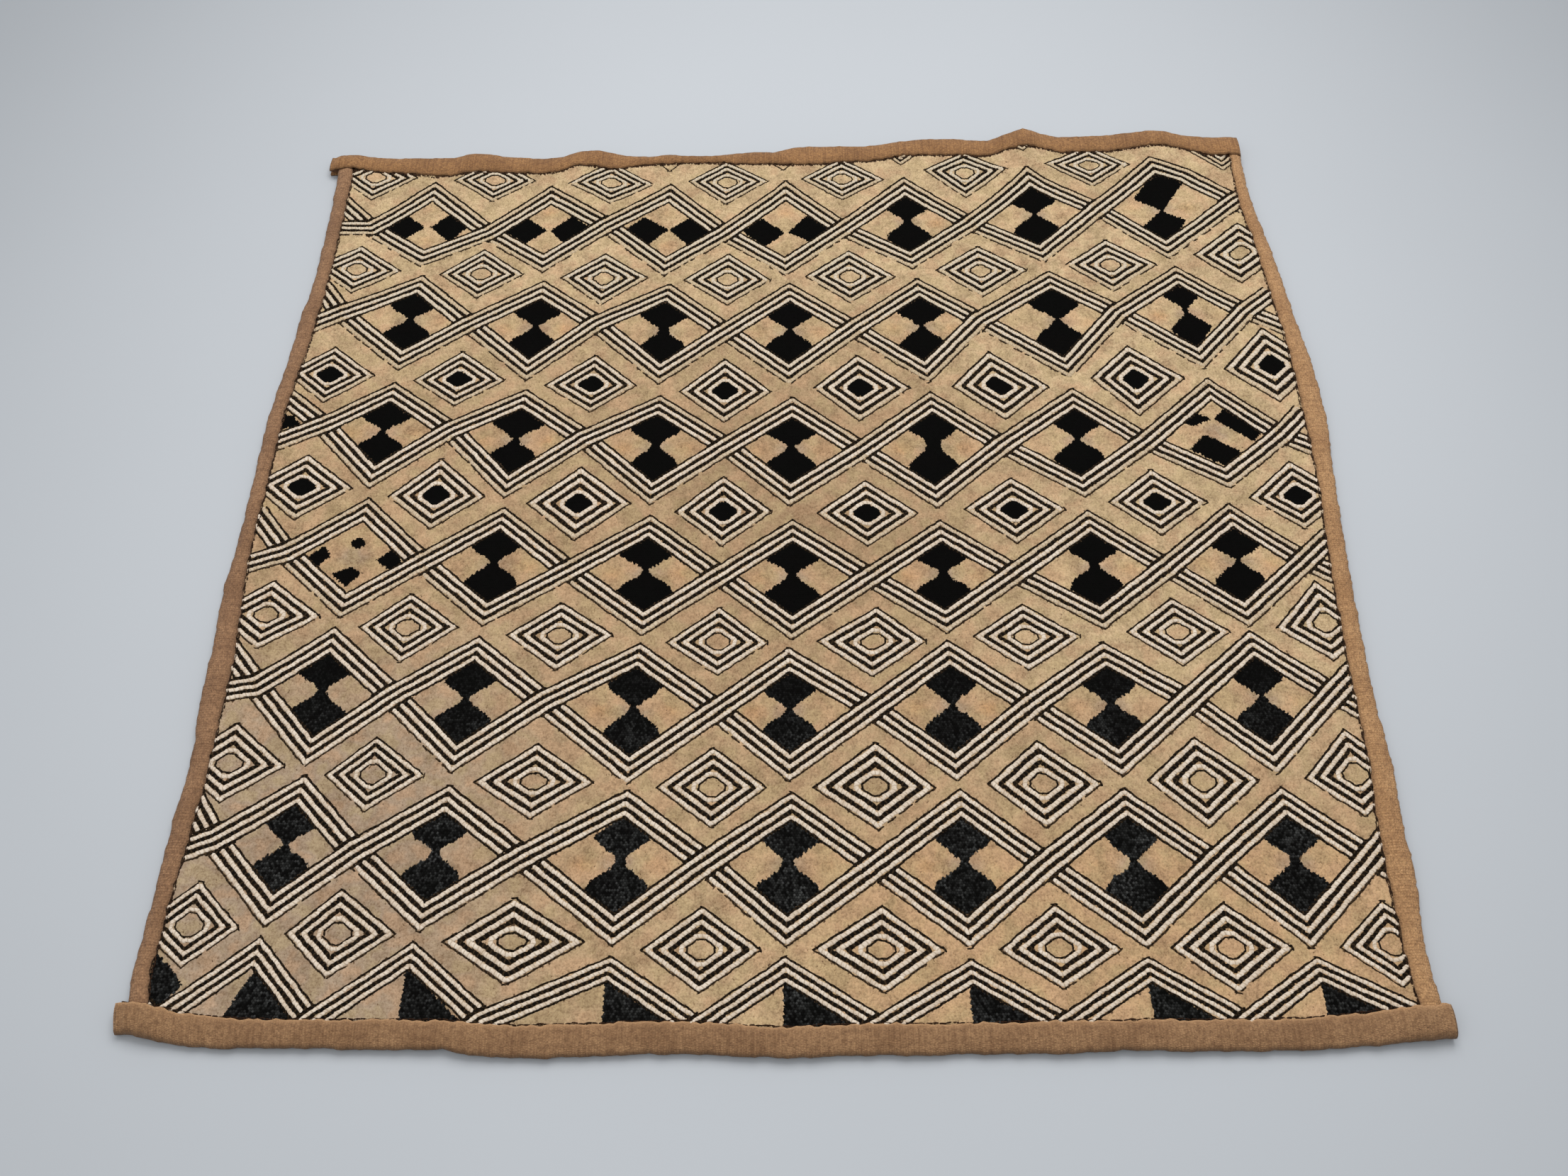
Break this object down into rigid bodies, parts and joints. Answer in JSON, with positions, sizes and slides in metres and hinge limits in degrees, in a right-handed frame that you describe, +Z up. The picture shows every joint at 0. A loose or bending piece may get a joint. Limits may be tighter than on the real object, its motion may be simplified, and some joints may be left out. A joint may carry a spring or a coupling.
{
  "type": "kuba raffia cloth",
  "caption": "Flat, nearly square raffia cloth in cut pile and stem stitch with an interlaced lozenge pattern, its edges bound in folded plain strips, made to lie on a surface.",
  "frame": {"origin": "middle of the cloth's outline, on the surface that it lies on", "axes": "+Z up from the surface, +Y along the longer side from the near edge to the far edge, +X from the left edge to the right edge"},
  "size_m": [0.6085, 0.6352, 0.0112],
  "materials": {
    "worked_raffia": "matt cut pile and stem stitch in tan, cream and black raffia",
    "plain_raffia": "plain golden-brown raffia weave, faintly silky"
  },
  "bodies": {
    "root": {"panel": "worked_raffia", "binding_left": "plain_raffia", "binding_right": "plain_raffia", "binding_bottom": "plain_raffia", "binding_top": "plain_raffia"}
  },
  "joints": []
}
